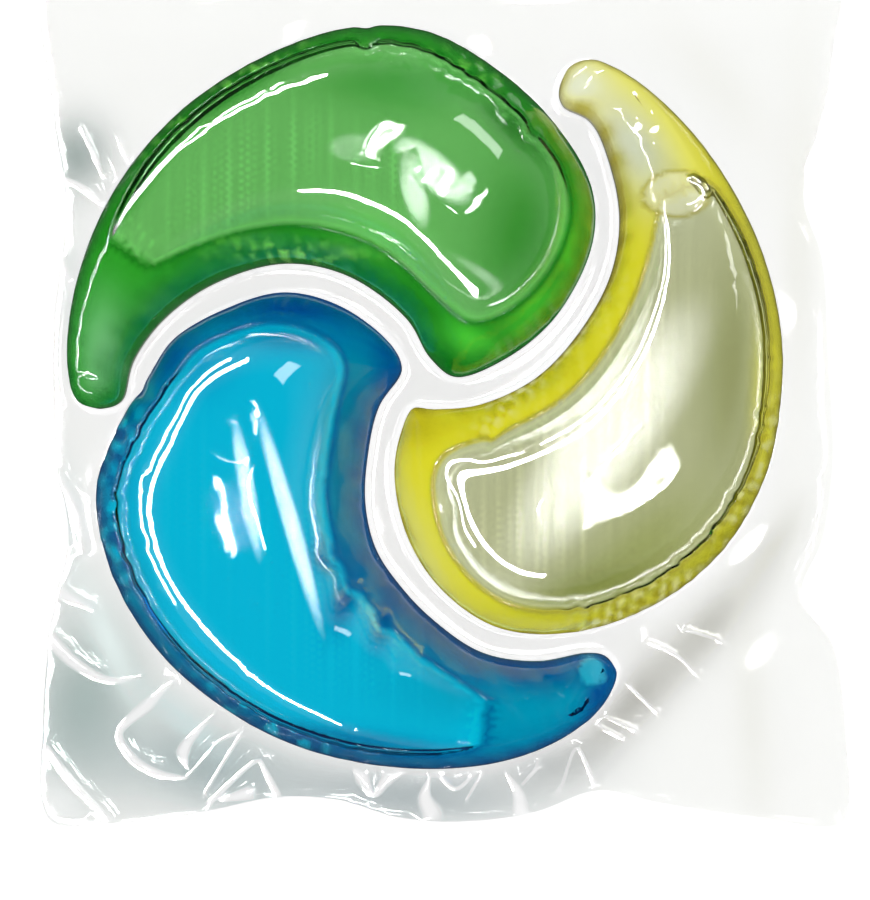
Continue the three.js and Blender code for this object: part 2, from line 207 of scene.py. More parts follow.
yellowChamber = {
    "rim": [
        (9.0, 21.9), (7.4, 21.3), (6.85, 19.9), (7.3, 18.8), (9.0, 17.9), (10.2, 15.2),
        (10.8, 11.9), (10.3, 8.5), (8.5, 5.0), (5.6, 1.8), (2.0, 0.05), (-0.9, -0.25),
        (-2.4, -0.2), (-3.3, -1.9), (-3.75, -4.8), (-2.9, -8.8), (-0.7, -12.2), (3.0, -14.7),
        (8.0, -15.0), (13.4, -13.1), (17.4, -9.9), (20.2, -5.3), (21.3, 0.0), (21.2, 5.0),
        (19.6, 10.6), (16.4, 16.1), (12.9, 19.8), (10.7, 21.3),
    ],
    "spine": [
        (8.6, 20.1), (10.9, 18.0), (13.3, 14.8), (15.2, 10.5), (15.4, 5.6), (13.8, 0.6),
        (10.3, -4.0), (5.8, -6.6),
    ],
    "bubbles": [(13.9, 12.5, 1.95, 1.4, 1.3)],
    "marks": [
        (3.4, -1.8, 1.4, 0.35, 50, 0.6), (6.6, 1.6, 0.9, 0.4, 40, 0.5),
        (10.4, 6.2, 0.9, 0.4, 70, 0.5), (-0.2, -6.9, 1.1, 0.5, 100, 0.35),
        (19.9, -5.6, 0.9, 0.4, 75, 0.5), (11.0, 11.0, 0.9, 0.4, 80, 0.35),
        (1.2, -1.4, 0.6, 0.5, 0, 0.4),
    ],
    "crinkles": [
        (19.2, -6.8, 1.5, 0.3, 1.0), (17.4, -9.4, 1.5, 0.3, 1.0), (15.0, -11.6, 1.5, 0.3, 1.0),
        (12.0, -13.3, 1.5, 0.3, 1.1), (8.6, -14.3, 1.5, 0.26, 1.1), (20.4, 3.0, 1.4, 0.18, 1.0),
        (20.3, -1.6, 1.4, 0.2, 1.0), (19.3, 8.4, 1.4, 0.16, 1.1), (3.0, -0.6, 1.5, 0.25, 1.0),
        (6.0, 2.0, 1.4, 0.22, 1.0), (9.4, 6.4, 1.3, 0.18, 1.0), (-3.0, -6.4, 1.3, 0.14, 1.2),
    ],
    "waves": (0.04, 5.0, 60),
    # painted highlight and shade specks along the sealed rim
    "paintedSpecks": (
        (1.0, 1.0, 0.65), 0.9, 73,
        [(19.6, -5.0, 0.8, 6.5, -22), (12.0, -13.2, 6.5, 0.8, 25), (6.0, 2.2, 5.5, 0.7, 48)],
    ),
    "puckers": (0.07, 1.2, 63),
    # painted shade along the sealed rim, and how far in it reaches
    "rimShadeTint": (0.46, 0.40, 0.01),
    "rimShadeReach": 0.55,
    "bandTint": (0.93, 0.88, 0.05),
    "poolTint": (0.60, 0.63, 0.58),
    # painted streaks of light in the pool
    "paintedStreaks": [
        (8.5, -3.5, 5.0, 4.0, 50, 0.2),
        (4.5, -8.5, 3.5, 2.5, 0, 0.2),
        (12.5, 4.5, 2.5, 5.0, -15, 0.14),
    ],
    # painted dark line where the liquid meets the film and round each bubble
    "edgeShadeTint": (0.50, 0.46, 0.08),
    # painted light and shade spots
    "lightAndShade": [
        (18.4, 2.0, 2.0, 8.0, -3, (0.38, 0.41, 0.26), 0.85),
        (13.0, -9.6, 5.5, 2.4, 38, (0.40, 0.45, 0.20), 0.85),
        (-2.0, -1.6, 1.8, 1.4, 0, (0.62, 0.56, 0.02), 0.9),
        (-1.6, -9.6, 1.1, 5.0, 22, (0.95, 0.93, 0.25), 0.9),
        (5.5, -14.2, 5.5, 1.0, -8, (0.90, 0.86, 0.02), 0.9),
        (17.8, -9.0, 4.5, 0.9, 50, (0.62, 0.60, 0.03), 0.85),
        (20.5, -1.0, 0.8, 5.5, 0, (0.90, 0.88, 0.12), 0.85),
        (9.4, -11.9, 4.6, 1.4, 15, (0.28, 0.33, 0.10), 0.85),
        (4.2, 0.6, 4.5, 0.9, 25, (0.66, 0.62, 0.02), 0.9),
        (9.4, 6.6, 2.6, 0.7, 58, (0.62, 0.58, 0.03), 0.85),
        (12.0, 16.4, 4.8, 2.3, -55, (0.70, 0.75, 0.86), 0.95),
        (8.4, 20.4, 1.7, 1.5, 0, (0.88, 0.93, 0.97), 0.9),
    ],
}

flangeEdge = [
    (-25.7, -27.0), (-21.8, -27.2), (-15.4, -26.4), (-11.1, -25.55), (-7.2, -25.7), (-2.9, -26.9),
    (1.3, -27.1), (5.6, -26.5), (9.7, -25.1), (13.6, -25.9), (19.8, -26.8), (25.6, -27.1),
    (25.9, -22.0), (24.9, -15.4), (22.8, -12.4), (24.1, -9.0), (24.8, -4.0), (24.5, 3.0),
    (24.1, 9.2), (22.9, 13.3), (24.4, 18.5), (25.1, 23.0), (25.3, 27.0), (19.0, 26.7),
    (12.5, 27.1), (6.0, 26.4), (-1.0, 26.9), (-8.0, 27.2), (-15.0, 26.5), (-21.0, 26.9),
    (-25.9, 27.1), (-25.5, 19.0), (-24.6, 12.6), (-25.4, 5.0), (-25.3, -3.0), (-24.5, -9.0),
    (-25.6, -14.5), (-26.1, -20.5),
]


flange = {
    "hazeAndShade": (0.985, 0.99, 0.972),
    "paintedShadowsAndGlows": [  # painted shadows and caustic glows: x, y, half-length, half-width, direction, colour, strength
        (-23.5, -19.5, 6.5, 4.2, 80, (0.44, 0.54, 0.52), 0.95),
        (-15.5, -23.5, 7.0, 3.0, -12, (0.47, 0.56, 0.56), 0.95),
        (-3.0, -25.4, 9.0, 2.2, -3, (0.50, 0.56, 0.57), 0.95),
        (6.5, -23.4, 4.0, 1.8, 12, (0.55, 0.58, 0.58), 0.85),
        (-24.8, -8.5, 4.5, 1.2, 88, (0.72, 0.80, 0.79), 0.7),
        (-24.0, 15.8, 2.6, 2.4, 90, (0.36, 0.43, 0.41), 0.9),
        (-24.6, 7.5, 5.0, 1.0, 90, (0.66, 0.74, 0.71), 0.6),
        (11.5, -19.6, 4.6, 1.7, 42, (0.50, 0.50, 0.46), 0.9),
        (16.8, -14.6, 4.5, 1.5, 45, (0.58, 0.58, 0.53), 0.85),
        (20.8, -9.6, 3.5, 1.1, 55, (0.70, 0.70, 0.64), 0.7),
        (19.6, -20.0, 1.2, 8.0, 4, (0.88, 0.88, 0.83), 0.6),
        (22.6, 10.0, 12.0, 1.2, 88, (0.88, 0.88, 0.82), 0.6),
        (-25.2, -26.2, 2.0, 1.5, -45, (0.95, 0.97, 0.96), 0.95),
        (-21.9, -15.6, 4.2, 0.9, -66, (0.90, 1.0, 0.98), 0.95),
        (-17.0, -20.6, 3.0, 0.8, -42, (0.72, 0.86, 0.86), 0.8),
        (17.4, 20.5, 5.0, 1.5, -50, (0.90, 0.90, 0.85), 0.5),
    ],
    "creases": [  # points along each fold, which is raised and painted pale as a highlight, and its half-width at each
        [(-25.3, -12.2, 0.26), (-24.3, -12.8, 0.22), (-23.0, -13.4, 0.05)],
        [(-25.7, -15.3, 0.26), (-24.1, -16.9, 0.26), (-21.9, -18.0, 0.16), (-19.9, -17.8, 0.04)],
        [
            (-17.6, -17.9, 0.04), (-19.4, -19.6, 0.24), (-21.2, -21.4, 0.16),
            (-20.4, -23.0, 0.20), (-18.8, -24.0, 0.18), (-16.9, -24.3, 0.08),
        ],
        [(-15.3, -20.4, 0.04), (-16.7, -21.9, 0.20), (-17.1, -22.7, 0.30), (-16.8, -23.6, 0.05)],
        [(-16.7, -24.1, 0.05), (-15.4, -22.7, 0.04)],
        [(-15.6, -25.2, 0.05), (-13.5, -21.7, 0.07)],
        [(-14.9, -22.0, 0.05), (-13.7, -21.4, 0.08)],
        [(-15.3, -25.8, 0.12), (-12.2, -23.2, 0.08), (-11.8, -23.8, 0.10), (-11.0, -25.4, 0.16)],
        [(-14.6, -25.7, 0.10), (-12.9, -25.3, 0.28)],
        [(-25.9, -22.4, 0.14), (-24.4, -24.4, 0.18), (-21.9, -27.0, 0.10)],
        [
            (-6.0, -23.9, 0.10), (-5.6, -24.3, 0.30), (-4.8, -25.4, 0.12),
            (-3.9, -24.4, 0.25), (-2.9, -24.0, 0.06),
        ],
        [(-1.2, -24.3, 0.05), (-1.5, -25.6, 0.30), (-1.0, -26.6, 0.40)],
        [(-0.8, -23.9, 0.06), (0.5, -25.0, 0.09), (1.8, -23.9, 0.05)],
        [(1.3, -25.5, 0.06), (2.2, -24.0, 0.07)],
        [(3.8, -24.1, 0.06), (4.5, -25.3, 0.22), (4.7, -26.5, 0.32)],
        [(4.9, -24.6, 0.06), (5.7, -23.7, 0.09)],
        [(7.3, -24.9, 0.06), (8.3, -22.4, 0.06), (9.4, -24.6, 0.09)],
        [(13.1, -15.6, 0.06), (14.6, -16.3, 0.09), (16.0, -17.6, 0.05)],
        [(15.5, -14.8, 0.08), (17.4, -15.4, 0.05)],
        [(11.8, -18.5, 0.08), (13.4, -20.0, 0.05)],
        [(10.3, -20.4, 0.06), (12.0, -21.2, 0.07)],
        [(10.0, -21.1, 0.06), (11.0, -21.6, 0.06)],
        [(-21.2, 16.8, 0.10), (-20.4, 14.6, 0.14), (-20.0, 13.6, 0.05)],
        [(-25.0, 14.4, 0.12), (-23.4, 13.6, 0.16), (-21.9, 12.0, 0.05)],
        [(-23.6, 17.6, 0.05), (-22.7, 15.6, 0.12), (-22.3, 14.6, 0.05)],
        [(-25.2, 9.6, 0.10), (-24.4, 7.6, 0.14), (-24.2, 6.4, 0.05)],
        [(-25.2, -4.6, 0.08), (-23.9, -7.4, 0.12), (-23.6, -9.6, 0.05)],
    ],
    "rise": 0.16,  # height of a fold over the flange
    "swell": (0.05, 7.0, 5),  # height, spacing and seed of the slow waves
}

fine = {  # spacing of mesh points, in mm
    "outline": 0.4,
    "path": 0.25,
    "filmRim": 0.3,
    "formedGrid": 0.42,
    "lowerGrid": 0.6,
    "liquidRim": 0.25,
    "liquidGrid": 0.27,
    "liquidApart": 0.16,
    "steps": 40,  # samples from a rim to its spine
}


def smoothCurve(points, closed, perSpan=24):  # centripetal, through every point
    pts = np.array(points, float)
    n = len(pts)
    spans = n if closed else n - 1
    ends = (pts[0] * 2 - pts[1], pts[-1] * 2 - pts[-2])
    out = []
    for i in range(spans):
        if closed:
            four = [pts[(i + k) % n] for k in (-1, 0, 1, 2)]
        else:
            four = [
                pts[i - 1] if i else ends[0], pts[i], pts[i + 1],
                pts[i + 2] if i + 2 < n else ends[1],
            ]
        knot = np.cumsum([0] + [math.hypot(*(b - a)) ** 0.5 for a, b in zip(four, four[1:])])
        t = np.linspace(knot[1], knot[2], perSpan, endpoint=False)[:, None]
        a = [
            ((knot[k + 1] - t) * four[k] + (t - knot[k]) * four[k + 1]) / (knot[k + 1] - knot[k])
            for k in range(3)
        ]
        b = [
            ((knot[k + 2] - t) * a[k] + (t - knot[k]) * a[k + 1]) / (knot[k + 2] - knot[k])
            for k in range(2)
        ]
        out.append(((knot[2] - t) * b[0] + (t - knot[1]) * b[1]) / (knot[2] - knot[1]))
    if not closed:
        out.append(pts[-1:])
    return np.concatenate(out)


def evenly(curve, spacing, closed=True):  # the same curve with points at equal distances
    loop = np.vstack([curve, curve[:1]]) if closed else curve
    along = np.concatenate([[0], np.cumsum(np.hypot(*np.diff(loop, axis=0).T))])
    count = max(8, round(along[-1] / spacing))
    at = np.linspace(0, along[-1], count, endpoint=not closed)
    return np.stack([np.interp(at, along, loop[:, k]) for k in range(2)], 1)


def roomAt(points, outline):  # how much room is round each point, and whether it is inside
    room = np.zeros(len(points))
    within = np.zeros(len(points), bool)
    near = ((points > outline.min(0)) & (points < outline.max(0))).all(1).nonzero()[0]
    corner = outline.astype(np.float32)
    follow = np.roll(corner, -1, 0)
    length = np.hypot(*(follow - corner).T)
    for start in range(0, len(near), 2000):
        chosen = near[start:start + 2000]
        x, y = points[chosen].astype(np.float32).T[:, :, None]
        ax, ay, bx, by = corner[:, 0] - x, corner[:, 1] - y, follow[:, 0] - x, follow[:, 1] - y
        cross = ax * by - ay * bx
        cross = np.where(np.abs(cross) < 1e-7, 1e-7, cross)
        angle = np.arctan2(cross, ax * bx + ay * by)
        room[chosen] = math.pi / (angle / cross * length).sum(1)
        within[chosen] = angle.sum(1) > math.pi
    return np.abs(room), within


def nearestTo(points, curve):  # index of the nearest point of a curve, and the distance
    index = np.empty(len(points), int)
    for start in range(0, len(points), 4000):
        p = points[start:start + 4000, None, :]
        index[start:start + 4000] = ((curve[None] - p) ** 2).sum(-1).argmin(1)
    return index, np.hypot(*(curve[index] - points).T)


edgeCurve = smoothCurve(flangeEdge, True)
middle = (edgeCurve.min(0) + edgeCurve.max(0)) / 2
edgeCurve = edgeCurve - middle

chambers = {"green": greenChamber, "blue": blueChamber, "yellow": yellowChamber}
for chamber in chambers.values():
    chamber["outline"] = evenly(smoothCurve(chamber["rim"], True) - middle, fine["outline"])
    chamber["path"] = evenly(smoothCurve(chamber["spine"], False) - middle, fine["path"], False)
    chamber["pathRoom"] = roomAt(chamber["path"], chamber["outline"])[0]


def pocketShape(points, chamber):  # share of a full dome's height, and depth from the rim
    room, within = roomAt(points, chamber["outline"])
    index, _ = nearestTo(points, chamber["path"])
    crownRoom = chamber["pathRoom"][index]
    near, more = capsule["lean"]
    lean = near + more * np.hypot(*(points - capsule["swirl"]).T)  # steeper on the far side
    depth = np.clip(room * lean / crownRoom, 0, 1)
    ease = capsule["ease"]
    share = np.tanh(ease * crownRoom / capsule["fullRoom"]) / math.tanh(ease)
    return share, np.where(within, depth, 0)


def ripple(points, spacing, seed):  # irregular bumps of about one spacing, from -1 to 1
    draw = np.random.default_rng(seed)
    total = np.zeros(len(points))
    for _ in range(7):
        turn, phase = draw.uniform(0, 2 * math.pi, 2)
        wave = 2 * math.pi / (spacing * draw.uniform(0.75, 1.4))
        total += np.cos((points @ (math.cos(turn), math.sin(turn))) * wave + phase)
    return total / 3.5


def fromAbove(points, rise):  # where a place that much over the flange is seen from over the middle
    aim = np.array(shot["aim"]) / mm
    return aim + (points - aim) / (1 - rise[:, None] * mm / shot["height"])


def upright(points, spacing):  # irregular upright stripes, from 0 to 1
    x = 2 * math.pi * points[:, 0] / spacing
    wave = np.cos(x) + np.cos(0.71 * x + 1) + np.cos(1.37 * x + 2) + np.cos(0.43 * x + 3)
    return np.clip(wave / 2.5, 0, 1)


def bell(points, x, y, a, b, turn=0.0):  # a smooth spot, 1 in its middle
    c, s = math.cos(math.radians(turn)), math.sin(math.radians(turn))
    u, v = points[:, 0] - x + middle[0], points[:, 1] - y + middle[1]
    return np.exp(-(((u * c + v * s) / a) ** 2) - ((v * c - u * s) / b) ** 2)


def domeZ(points, chamber):  # outer side of the formed film
    share, depth = pocketShape(points, chamber)
    crown, wall = capsule["domeCurve"]
    rise = capsule["dome"] * share * (1 - (1 - depth) ** crown) ** wall
    seen = fromAbove(points, rise)
    change = np.zeros(len(points))
    for x, y, a, b, turn, deep in chamber["marks"]:
        change -= deep * bell(seen, x, y, a, b, turn)
    for k, (x, y, reach, high, spacing) in enumerate(chamber["crinkles"]):
        change += high * bell(seen, x, y, reach, reach) * ripple(seen, spacing, 40 + k)
    high, spacing, seed = chamber["waves"]
    change += high * ripple(points, spacing, seed) * share
    high, spacing, seed = chamber["puckers"]
    _, away = nearestTo(points, chamber["outline"])
    change += high * np.exp(-(((away - 1.0) / 0.8) ** 2)) * ripple(points, spacing, seed)
    fade = np.clip(rise / 3, 0, 1)
    return capsule["seal"] + capsule["film"] + np.maximum(rise + change * fade, 0)


def bulgeZ(points, chamber):  # upper side of the lower film
    share, depth = pocketShape(points, chamber)
    crown, wall = capsule["bulgeCurve"]
    drop = capsule["bulge"] * share * (1 - (1 - depth) ** crown) ** wall
    return np.maximum(capsule["seal"] - capsule["gap"] - drop, capsule["film"])


def hexPoints(low, high, spacing):
    rows = np.arange(low[1], high[1], spacing * 0.866)
    cols = np.arange(low[0], high[0], spacing)
    x, y = np.meshgrid(cols, rows)
    x = x + (np.arange(len(rows)) % 2)[:, None] * spacing / 2
    return np.stack([x.ravel(), y.ravel()], 1)


def ringsFrom(outline, distances):  # copies of an outline, moved inwards by each distance
    ahead = np.roll(outline, -1, 0) - np.roll(outline, 1, 0)
    inward = np.stack([-ahead[:, 1], ahead[:, 0]], 1) / np.hypot(*ahead.T)[:, None]
    return np.concatenate([outline + inward * d for d in distances])


def keepApart(points, fixed, least):  # drops the points that are too near to fixed ones
    low = np.minimum(points.min(0), fixed.min(0)) - 3 * least
    size = ((np.maximum(points.max(0), fixed.max(0)) - low) / (least / 2)).astype(int) + 4
    taken = np.zeros(size, bool)
    cells = ((fixed - low) / (least / 2)).astype(int)
    for i in range(-2, 3):
        for j in range(-2, 3):
            if abs(i) + abs(j) < 4:
                taken[cells[:, 0] + i, cells[:, 1] + j] = True
    cells = ((points - low) / (least / 2)).astype(int)
    return points[~taken[cells[:, 0], cells[:, 1]]]


def planMesh(loops, loose):  # triangles over loops and loose points, counter-clockwise
    points = np.concatenate(list(loops) + [loose])
    edges, start = [], 0
    for loop in loops:
        n = len(loop)
        edges += [(start + i, start + (i + 1) % n) for i in range(n)]
        start += n
    made = delaunay_2d_cdt([Vector(p) for p in points], edges, [], 0, 1e-6)
    plan = np.array([tuple(v) for v in made[0]])
    faces = np.array([tuple(f) for f in made[2]])
    a, b, c = (plan[faces[:, k]] for k in range(3))
    area = (b[:, 0] - a[:, 0]) * (c[:, 1] - a[:, 1]) - (b[:, 1] - a[:, 1]) * (c[:, 0] - a[:, 0])
    faces = np.where(area[:, None] < 0, faces[:, ::-1], faces)[np.abs(area) > 1e-9]
    return plan, faces


def addMesh(name, points, faces):
    mesh = bpy.data.meshes.new(name)
    mesh.from_pydata((points * mm).tolist(), [], faces.tolist())
    mesh.update()
    piece = bpy.data.objects.new(name, mesh)
    bpy.context.collection.objects.link(piece)
    mesh.shade_smooth()
    return piece


def select(piece):
    bpy.ops.object.select_all(action="DESELECT")
    piece.select_set(True)
    bpy.context.view_layer.objects.active = piece


def setMaterial(piece, material):
    piece.data.materials.clear()
    piece.data.materials.append(material)


def filmPiece(name, heightOf, flangeZ, spacing):
    edge = evenly(edgeCurve, fine["outline"])
    rims = [evenly(c["outline"], fine["filmRim"]) for c in chambers.values()]
    rings = np.concatenate(
        [ringsFrom(rim, (-0.5, -0.2, 0.07, 0.18, 0.32, 0.5, 0.75)) for rim in rims]
    )
    rows = foldRows()
    _, safe = roomAt(rows, edge)
    for chamber in chambers.values():
        safe &= nearestTo(rows, chamber["outline"])[1] > 0.7
    rings = np.concatenate([rings, rows[safe]])
    fixed = np.concatenate([edge] + rims + [rings])
    grid = hexPoints(edgeCurve.min(0), edgeCurve.max(0), spacing)
    _, within = roomAt(grid, edge)
    loose = np.concatenate([rings, keepApart(grid[within], fixed, spacing * 0.6)])
    plan, faces = planMesh([edge] + rims, loose)
    _, inFilm = roomAt(plan[faces].mean(1), edge)
    faces = faces[inFilm]
    z = flangeZ(plan)
    for chamber in chambers.values():
        _, inside = roomAt(plan, chamber["outline"])
        z[inside] = heightOf(plan[inside], chamber)
    piece = addMesh(name, np.column_stack([plan, z]), faces)
    wet = piece.data.attributes.new("wet", "FLOAT", "POINT")
    wet.data.foreach_set("value", wetShare(plan, z).astype(np.float32))
    # faint haze with painted shadows, glows and fold highlights, for the film's see-through colour
    hazeAndShade = piece.data.attributes.new("hazeAndShade", "FLOAT_COLOR", "POINT")
    hazeAndShade.data.foreach_set("color", np.column_stack([hazeAndShadeAt(plan), np.ones(len(plan))]).ravel())
    return piece


def hazeAndShadeAt(plan):  # how much the film clouds what is under it, with painted shadows and glows and painted highlights along its folds
    colour = np.tile(flange["hazeAndShade"], (len(plan), 1))
    for x, y, a, b, turn, tone, strength in flange["paintedShadowsAndGlows"]:
        share = (strength * bell(plan, x, y, a, b, turn))[:, None]
        colour = colour * (1 - share) + np.array(tone) * share
    # painted highlights along the folds
    fold = creaseShare(plan)[:, None]
    colour = colour * (1 - fold) + fold
    for chamber in chambers.values():
        _, inside = roomAt(plan, chamber["outline"])
        _, away = nearestTo(plan, chamber["outline"])
        clear = np.where(inside, 1, np.exp(-away / 0.5))[:, None]
        colour = colour * (1 - clear) + 0.99 * clear
    return colour ** 0.25  # light passes both sides of both films


def wetShare(plan, z):  # 1 where liquid touches the film, 0 over air
    share = np.zeros(len(plan))
    for chamber in chambers.values():
        _, inside = roomAt(plan, chamber["outline"])
        share[inside] = np.clip((capsule["level"] + capsule["climb"] + 1.0 - z[inside]) / 0.8, 0, 1)
    return share


def thickenFilm(piece):
    select(piece)
    skin = piece.modifiers.new("skin", "SOLIDIFY")
    skin.thickness = capsule["film"] * mm
    skin.offset = -1
    skin.use_even_offset = False
    bpy.ops.object.modifier_apply(modifier="skin")
    piece.data.shade_smooth()


def creaseLine(crease, spacing=0.1):  # points along a fold, with the half-width at each
    line = np.array(crease)
    curve = smoothCurve(line[:, :2], False) - middle
    width = np.interp(np.linspace(0, len(line) - 1, len(curve)), np.arange(len(line)), line[:, 2])
    step = max(1, round(spacing * len(curve) / np.hypot(*np.diff(curve, axis=0).T).sum()))
    return curve[::step], width[::step]


def creaseShare(plan):  # 1 on a fold, 0 off it
    share = np.zeros(len(plan))
    for crease in flange["creases"]:
        curve, width = creaseLine(crease)
        near = ((plan > curve.min(0) - 1) & (plan < curve.max(0) + 1)).all(1).nonzero()[0]
        index, off = nearestTo(plan[near], curve)
        edge = np.clip(1.6 - off / width[index] * 0.8, 0, 1)
        share[near] = np.maximum(share[near], edge * edge * (3 - 2 * edge))
    return share


def flangeWave(plan):  # slow waves and sharp folds, flat again at the seals
    high, spacing, seed = flange["swell"]
    wave = high * ripple(plan, spacing, seed) + flange["rise"] * creaseShare(plan)
    calm = np.ones(len(plan))
    for chamber in chambers.values():
        _, away = nearestTo(plan, chamber["outline"])
        calm = np.minimum(calm, np.clip((away - 0.3) / 1.2, 0, 1))
    return wave * calm


def flangeTop(plan):
    return capsule["seal"] + capsule["film"] + flangeWave(plan)


def flangeUnder(plan):
    return capsule["seal"] - capsule["gap"] + flangeWave(plan)


def foldRows():  # extra points along the folds, so that they stay sharp
    rows = []
    for crease in flange["creases"]:
        curve, width = creaseLine(crease, 0.2)
        ahead = np.gradient(curve, axis=0)
        side = np.stack([-ahead[:, 1], ahead[:, 0]], 1) / np.hypot(*ahead.T)[:, None]
        rows += [curve + side * (off * width)[:, None] for off in (-2, -1.3, -0.7, 0, 0.7, 1.3, 2)]
    return np.concatenate(rows)


formedFilm = filmPiece("formedFilm", domeZ, flangeTop, fine["formedGrid"])
thickenFilm(formedFilm)
lowerFilm = filmPiece("lowerFilm", bulgeZ, flangeUnder, fine["lowerGrid"])
thickenFilm(lowerFilm)
print("films made", len(formedFilm.data.polygons), len(lowerFilm.data.polygons))


meeting = {  # where a liquid's level meets the film, a painted dark line and a painted glint: strength, distance inwards and half-width
    "line": (0.9, -0.05, 0.16),
    "glint": (0.6, 0.42, 0.14),
}
# a bubble's cleared middle, the strength of its painted shade ring, the ring's width and the hollow's
# depth
bubbleLook = {"clear": 0.45, "skin": 0.8, "edge": 0.1, "hollow": 0.7}


def liquidTop(points, chamber):
    film = domeZ(points, chamber) - capsule["film"] - capsule["play"]
    contact = capsule["level"] + capsule["climb"]
    over = np.maximum(film - contact, 0)
    surface = capsule["level"] + capsule["climb"] * np.exp(-over / capsule["climbReach"])
    apart = np.abs(film - surface) / capsule["round"]
    z = np.minimum(film, surface) - capsule["round"] * np.log1p(np.exp(-apart))
    for x, y, a, b, c in chamber["bubbles"]:
        away = ((points[:, 0] - x + middle[0]) / a) ** 2 + ((points[:, 1] - y + middle[1]) / b) ** 2
        hollow = np.minimum(film, capsule["level"])
        hollow -= bubbleLook["hollow"] * c * np.maximum(1 - away, 0)
        z = np.where(away < 1, np.minimum(z, hollow), z)
    return z


def liquidTint(points, chamber):  # how each place of the liquid's surface colours light, with painted light and shade
    film = domeZ(points, chamber) - capsule["film"] - capsule["play"]
    over = film - capsule["level"] - capsule["climb"]
    seen = fromAbove(points, np.minimum(film, capsule["level"]) - capsule["seal"])
    _, away = nearestTo(points, chamber["outline"])
    away = away + 0.18 * ripple(points, 1.6, 11)
    pool = np.clip(over / 0.25, 0, 1)[:, None]
    tint = np.array(chamber["bandTint"]) * (1 - pool) + np.array(chamber["poolTint"]) * pool
    # painted light and shade spots
    for x, y, a, b, turn, colour, strength in chamber["lightAndShade"]:
        share = (strength * bell(seen, x, y, a, b, turn))[:, None]
        tint = tint * (1 - share) + np.array(colour) * share
    for x, y, a, b, turn, gain in chamber["paintedStreaks"]:  # faint upright lines of painted light
        tint = tint + (gain * bell(seen, x, y, a, b, turn) * upright(points, 0.55))[:, None]
    tint = np.minimum(tint, 1)
    step = 0.1
    wall = capsule["film"] + capsule["play"]
    slopes = [
        domeZ(points + way, chamber) - film - wall for way in ((step, 0), (0, step))
    ]
    inwards = over * step / np.maximum(np.hypot(*slopes), 0.05)  # distance from the liquid's edge
    # a painted dark line at the liquid's edge and a painted glint just inside it
    line, glint = (
        much * np.exp(-(((inwards - place) / width) ** 2))[:, None]
        for much, place, width in (meeting["line"], meeting["glint"])
    )
    tint = tint * (1 - glint) + np.minimum(np.array(chamber["poolTint"]) * 1.3, 1) * glint
    tint = tint * (1 - line) + np.array(chamber["edgeShadeTint"]) * line
    # painted shade along the sealed rim
    rim = np.exp(-((np.maximum(away, 0) / chamber["rimShadeReach"]) ** 2))[:, None]
    tint = tint * (1 - rim) + np.array(chamber["rimShadeTint"]) * rim
    speckGlintTint, spacing, seed, places = chamber["paintedSpecks"]  # painted highlight and shade specks along the sealed rim
    speck = ripple(seen, spacing, seed) / 0.3
    belt = np.max([bell(seen, *place) for place in places], 0) * (1 - pool[:, 0])
    light, dark = (0.8 * np.clip(k - 0.9, 0, 1)[:, None] * belt[:, None] for k in (speck, -speck))
    tint = tint * (1 - light) + np.array(speckGlintTint) * light
    tint = tint * (1 - dark) + np.array(chamber["rimShadeTint"]) * dark
    # each bubble clears the colour inside it and gets a painted shade ring
    for x, y, a, b, c in chamber["bubbles"]:
        away = np.hypot((points[:, 0] - x + middle[0]) / a, (points[:, 1] - y + middle[1]) / b)
        clear = bubbleLook["clear"] * np.clip((1 - away) / bubbleLook["edge"], 0, 1)[:, None]
        skin = bubbleLook["skin"] * np.exp(-(((away - 1) / bubbleLook["edge"]) ** 2))[:, None]
        tint = tint * (1 - clear) + clear
        tint = tint * (1 - skin) + np.array(chamber["edgeShadeTint"]) * skin
    return tint


